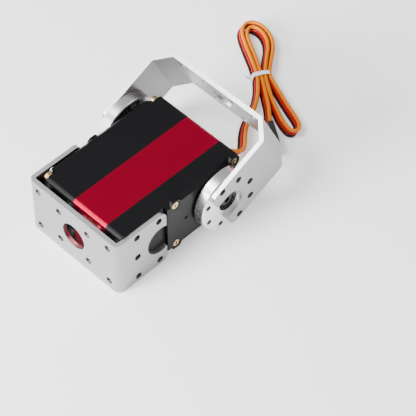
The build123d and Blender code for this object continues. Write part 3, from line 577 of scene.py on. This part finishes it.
@dataclass
class ServoLead:
    """Flat lead of three cores that stands on edge, leans over and is folded into a tied bundle."""

    core_radius: float = 0.00086
    core_pitch: float = 0.0017
    sides: int = 12
    length: float = 0.3
    width: float = 0.0051
    lean_towards: Point = (0.71, -0.71, 0.0)
    lean_start: float = 0.012
    lean_run: float = 0.030
    lean_free: float = 1.15
    lean_tied: float = 0.55
    route: list[Point] = field(default_factory=lambda: [
        # from the grommet down to the floor
        (0.0722, -0.0034, -0.0050), (0.0750, -0.0034, -0.0054), (0.0782, -0.0047, -0.0064),
        (0.0816, -0.0075, -0.0078), (0.0848, -0.0098, -0.0091), (0.0880, -0.0094, -0.0103),
        (0.0918, -0.0060, -0.0113), (0.0958, -0.0022, -0.0120), (0.0998, 0.0008, -0.0124),
        (0.1045, 0.0032, -0.0124), (0.1090, 0.0052, -0.0124), (0.1135, 0.0078, -0.0124),
        (0.1176, 0.0110, -0.0123), (0.1209, 0.0142, -0.0120),
        # under the tie and round the outer loop
        (0.1239, 0.0178, -0.0119), (0.1272, 0.0229, -0.0120), (0.1302, 0.0283, -0.0123),
        (0.1336, 0.0345, -0.0124), (0.1372, 0.0404, -0.0124), (0.1406, 0.0433, -0.0124),
        (0.1439, 0.0435, -0.0124), (0.1464, 0.0410, -0.0124), (0.1471, 0.0369, -0.0124),
        (0.1460, 0.0316, -0.0124), (0.1431, 0.0266, -0.0124), (0.1391, 0.0229, -0.0124),
        (0.1333, 0.0186, -0.0121),
        # back under the tie and round the lower loop
        (0.1283, 0.0146, -0.0119), (0.1265, 0.0110, -0.0120), (0.1253, 0.0078, -0.0123),
        (0.1238, 0.0036, -0.0124), (0.1220, -0.0008, -0.0124), (0.1202, -0.0056, -0.0124),
        (0.1187, -0.0102, -0.0124), (0.1169, -0.0146, -0.0124), (0.1148, -0.0170, -0.0124),
        (0.1124, -0.0170, -0.0124), (0.1112, -0.0150, -0.0124), (0.1118, -0.0115, -0.0124),
        (0.1132, -0.0076, -0.0124), (0.1152, -0.0034, -0.0124), (0.1174, 0.0010, -0.0124),
        (0.1198, 0.0054, -0.0123), (0.1224, 0.0094, -0.0121),
        # under the tie again and round the inner loop
        (0.1264, 0.0154, -0.0119), (0.1306, 0.0191, -0.0121), (0.1358, 0.0233, -0.0124),
        (0.1397, 0.0264, -0.0124), (0.1425, 0.0298, -0.0124), (0.1442, 0.0336, -0.0124),
        (0.1447, 0.0373, -0.0124), (0.1434, 0.0402, -0.0124), (0.1408, 0.0406, -0.0124),
        (0.1381, 0.0382, -0.0124), (0.1352, 0.0335, -0.0124), (0.1323, 0.0279, -0.0123),
        (0.1289, 0.0222, -0.0120),
        # and out to the connector
        (0.1253, 0.0168, -0.0119), (0.1225, 0.0128, -0.0120), (0.1198, 0.0088, -0.0123),
        (0.1172, 0.0052, -0.0124), (0.1148, 0.0018, -0.0124), (0.1124, -0.0010, -0.0124),
        (0.1101, -0.0034, -0.0124), (0.1088, -0.0051, -0.0124), (0.1071, -0.0079, -0.0124),
    ])

    def centreline(self) -> list[Vector]:
        """Run a smooth spline along the route.

        Returns:
            Points along the spline.
        """
        data = bpy.data.curves.new("lead_line", "CURVE")
        data.dimensions = "3D"
        data.resolution_u = 8
        spline = data.splines.new("NURBS")
        spline.points.add(len(self.route) - 1)
        for point, place in zip(spline.points, self.route):
            point.co = (*place, 1.0)
        spline.order_u = 3
        spline.use_endpoint_u = True
        obj = bpy.data.objects.new("lead_line", data)
        mesh = bpy.data.meshes.new_from_object(obj)
        line = [vertex.co.copy() for vertex in mesh.vertices]
        bpy.data.meshes.remove(mesh)
        bpy.data.objects.remove(obj)
        bpy.data.curves.remove(data)
        return line

    def make_ribbon(self, line: list[Vector]) -> bpy.types.Object:
        """Run three cores side by side along the line, one above the other.

        Args:
            line: points along the ribbon's middle.

        Returns:
            The ribbon, with each core's faces given its own material index.
        """
        shape = bmesh.new()
        ups = [self.up_at(line, index) for index in range(len(line))]
        for core in range(3):
            rise = (1 - core) * self.core_pitch
            rings = []
            for index, (centre, (up, side)) in enumerate(zip(line, ups)):
                middle = centre + up * rise
                rings.append([
                    shape.verts.new(middle + self.core_radius * (
                        math.cos(math.tau * step / self.sides) * side
                        + math.sin(math.tau * step / self.sides) * up))
                    for step in range(self.sides)
                ])
            for first, second in zip(rings, rings[1:]):
                for step in range(self.sides):
                    after = (step + 1) % self.sides
                    face = shape.faces.new((first[step], first[after], second[after], second[step]))
                    face.material_index = core
            for end in (rings[0], rings[-1]):
                shape.faces.new(end).material_index = core
        bmesh.ops.recalc_face_normals(shape, faces=shape.faces)
        mesh = bpy.data.meshes.new("lead_ribbon")
        shape.to_mesh(mesh)
        shape.free()
        ribbon = bpy.data.objects.new("lead_ribbon", mesh)
        bpy.context.scene.collection.objects.link(ribbon)
        return ribbon

    def up_at(self, line: list[Vector], index: int) -> tuple[Vector, Vector]:
        """Find the ribbon's two directions at a point.

        Args:
            line: points along the ribbon's middle.
            index: which point.

        Returns:
            The direction across the cores and the direction through the ribbon.
        """
        before, after = line[max(index - 1, 0)], line[min(index + 1, len(line) - 1)]
        along = (after - before).normalized()
        gone = sum((b - a).length for a, b in zip(line[:index], line[1:index + 1]))
        rising = smooth_step(gone / self.lean_start)
        easing = smooth_step((gone - self.lean_run) / self.lean_run)
        lean = rising * (self.lean_free + easing * (self.lean_tied - self.lean_free))
        up = Vector((0.0, 0.0, 1.0)) + lean * Vector(self.lean_towards)
        side = along.cross(up).normalized()
        return side.cross(along).normalized(), side

    def build(self, colours: list[bpy.types.Material], tie: bpy.types.Object) -> None:
        """Build the lead.

        Args:
            colours: the insulation of the top, middle and bottom core.
            tie: the tie that holds the bundle together; not used.
        """
        line = self.centreline()
        ribbon = self.make_ribbon(line)
        dress(ribbon, *colours)
        pick(ribbon)
        bpy.ops.object.shade_smooth_by_angle(angle=math.radians(50.0))
        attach(ribbon, "servo")
        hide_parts("lead", "lead_hank", "lead_tail")
        log.info("lead_ribbon: %.1f mm long", 1000 * sum((b - a).length for a, b in zip(line, line[1:])))


# ---------------------------------------------------------------- tie
@dataclass
class TwistTie:
    """White plastic tie round the bundle, with its ends twisted together."""

    centre: Point = (0.1256, 0.0158, -0.0119)
    lean: float = math.radians(60.0)
    width: float = 0.0022
    inside: tuple[float, float] = (0.0080, 0.0052)
    thickness: float = 0.00045
    corner_power: float = 0.55
    edge_softness: float = 0.00012
    end_length: float = 0.0036
    end_width: float = 0.0011
    end_thinning: float = 0.8
    end_turns: float = 1.25
    end_taper: float = 0.25
    end_spread: float = 0.00012
    end_slope: float = math.radians(-48.0)
    end_reach: float = 0.0017
    end_rise: float = 0.0012

    def make_band(self) -> bpy.types.Object:
        """Shape a flat band with rounded corners round the bundle.

        Returns:
            The band.
        """
        deselect()
        bpy.ops.mesh.primitive_cylinder_add(
            vertices=48, radius=0.5, depth=self.width, end_fill_type="NOTHING",
            location=(0.0, 0.0, 0.0), rotation=(0.0, math.radians(90.0), 0.0))
        band = settle(bpy.context.object, "tie_band")
        half_width, half_height = self.inside[0] / 2, self.inside[1] / 2
        for vertex in band.data.vertices:
            across, rise = vertex.co.y * 2, vertex.co.z * 2
            squareness = max(abs(across), abs(rise)) ** self.corner_power
            vertex.co.y = half_width * across / squareness
            vertex.co.z = half_height * rise / squareness
        solid = band.modifiers.new("wall", "SOLIDIFY")
        solid.thickness = self.thickness
        solid.offset = 1.0
        soften = band.modifiers.new("edges", "BEVEL")
        soften.width = self.edge_softness
        soften.segments = 2
        apply_modifiers(band)
        face_outwards(band)
        return band

    def make_end(self, side: int) -> bpy.types.Object:
        """Twist one flat end of the tie.

        Args:
            side: 1 or -1, which of the two ends.

        Returns:
            The twisted end, at the origin.
        """
        deselect()
        bpy.ops.mesh.primitive_cube_add(size=1.0, location=(0.0, 0.0, 0.0))
        end = bpy.context.object
        end.scale = (self.end_width, self.thickness * self.end_thinning, self.end_length)
        settle(end, "tie_end")
        bpy.ops.object.mode_set(mode="EDIT")
        bpy.ops.mesh.select_all(action="SELECT")
        bpy.ops.mesh.subdivide(number_cuts=11)
        bpy.ops.object.mode_set(mode="OBJECT")
        for vertex in end.data.vertices:
            share = vertex.co.z / self.end_length + 0.5
            angle = math.tau * self.end_turns * share + (0.0 if side > 0 else math.pi / 2)
            x, y = vertex.co.x, vertex.co.y + side * self.end_spread
            vertex.co.x = x * math.cos(angle) - y * math.sin(angle)
            vertex.co.y = x * math.sin(angle) + y * math.cos(angle)
            vertex.co.x *= 1.0 - self.end_taper * share
        face_outwards(end)
        return end

    def build(self, material: bpy.types.Material) -> bpy.types.Object:
        """Build the tie and set it round the bundle.

        Args:
            material: its plastic.

        Returns:
            The tie.
        """
        band = self.make_band()
        ends = [self.make_end(side) for side in (1, -1)]
        for end in ends:
            end.rotation_euler = (self.end_slope, 0.0, 0.0)
            end.location = (0.0, self.inside[0] / 2 + self.end_reach, self.end_rise)
        deselect()
        for piece in (*ends, band):
            piece.select_set(True)
        bpy.context.view_layer.objects.active = band
        bpy.ops.object.join()
        band.rotation_euler = (0.0, 0.0, self.lean)
        band.location = self.centre
        settle(band, "bundle_tie")
        pick(band)
        bpy.ops.object.shade_smooth_by_angle(angle=math.radians(40.0))
        dress(band, material)
        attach(band, "servo")
        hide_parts("twist_tie")
        log.info("bundle_tie: %d faces", len(band.data.polygons))
        return band


# ---------------------------------------------------------------- machined parts
@dataclass
class MachinedParts:
    """Every hard part of the mount, with the finish each one has."""

    silver: Colour = (0.36, 0.365, 0.375)
    black: Colour = (0.004, 0.004, 0.005)
    red: Colour = (0.40, 0.0, 0.028)
    brass: Colour = (0.80, 0.60, 0.32)
    steel: Colour = (0.60, 0.60, 0.61)

    def finishes(self) -> dict[Finish, tuple[str, ...]]:
        """List the finishes.

        Returns:
            Each finish, with the parts that have it.
        """
        sheet = dict(colour=self.silver, roughness=0.36, metallic=1.0, tone_amount=0.06, gloss_amount=0.18,
                     grain_scale=2200.0, grain_height=0.000018)
        covers = dict(colour=self.black, roughness=0.38, metallic=0.0, gloss_amount=0.22,
                      grain_scale=3200.0, grain_height=0.000012, specular=0.16)
        return {
            # both sheet finishes carry a painted highlight on their cut edges
            SheetWithPaintedEdgeHighlight("blasted_sheet_mount", across=(0.0, 0.0, 1.0), **sheet): ("mount_bracket",),
            SheetWithPaintedEdgeHighlight("blasted_sheet_tilt", across=TILT_ACROSS, **sheet): ("tilt_bracket",),
            TurnedFinish("turned_disc", (0.82, 0.825, 0.83), 0.27, 1.0, tone_amount=0.05,
                         gloss_amount=0.12, grain_height=0.000006): ("driven_disc", "free_disc"),
            Finish("black_cover", **covers): ("front_cover", "rear_cover"),
            Finish("red_anodised", self.red, 0.30, 0.85, tone_amount=0.10, gloss_amount=0.12,
                   grain_scale=3600.0, grain_height=0.000008): ("middle_case",),
            Finish("brass_screw", self.brass, 0.24, 1.0, grain_height=0.000004):
                ("front_case_screws", "rear_case_screws", "motor_pinion", "connector_contacts"),
            Finish("black_oxide", (0.018, 0.018, 0.02), 0.36, 0.6, grain_height=0.000006):
                ("mount_set_screws", "tilt_set_screws", "disc_screw"),
            TurnedFinish("turned_steel", self.steel, 0.25, 1.0, grain_height=0.000003):
                ("output_bearing", "idler_bearing", "idler_axle", "output_shaft"),
            TurnedFinish("turned_motor", self.steel, 0.3, 1.0, centre=(0.0202, 0.0, 0.0012)):
                ("motor_can", "motor_armature"),
            Finish("hobbed_steel", (0.42, 0.42, 0.44), 0.32, 1.0):
                ("output_gear", "second_gear", "first_gear", "gear_pins", "motor_screws"),
            Finish("sintered_magnet", (0.10, 0.10, 0.11), 0.55, 0.4): ("motor_magnets",),
            Finish("moulded_black", (0.018, 0.018, 0.019), 0.42, grain_height=0.000012):
                ("motor_end_cap", "position_sensor", "connector_housing", "board_chips"),
            Finish("capacitor_sleeve", (0.02, 0.03, 0.07), 0.3, coat=0.3): ("board_capacitor",),
            Finish("board_lacquer", (0.012, 0.13, 0.045), 0.28, coat=0.4): ("circuit_board",),
            Finish("black_rubber", (0.014, 0.014, 0.014), 0.62, tone_amount=0.3):
                ("lead_grommet", "output_seal"),
            Finish("insulation_inside", (0.58, 0.02, 0.015), 0.35): ("inner_leads",),
        }

    def build(self, effects: Effects) -> None:
        """Dress every part.

        Args:
            effects: the shared node groups.
        """
        for finish, nodes in self.finishes().items():
            material = finish.build(effects)
            for node in nodes:
                dress(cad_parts[node], material)
            log.info("%s: %s", finish.name, ", ".join(nodes))


def main() -> None:
    """Build the studio, the lead and every finish."""
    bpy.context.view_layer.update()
    Studio().build()
    effects = Effects.build()
    insulation = dict(roughness=0.32, tone_amount=0.1, grain_scale=900.0, grain_height=0.00001,
                      specular=0.2)
    cores = [
        Finish("insulation_orange", (0.70, 0.19, 0.0), **insulation).build(effects),
        Finish("insulation_red", (0.38, 0.003, 0.002), **insulation).build(effects),
        Finish("insulation_brown", (0.035, 0.007, 0.003), **insulation).build(effects),
    ]
    tie = TwistTie().build(Finish("tie_plastic", (0.97, 0.97, 0.96), 0.35, tone_amount=0.03).build(effects))
    ServoLead().build(cores, tie)
    MachinedParts().build(effects)


if __name__ == "__main__":
    main()
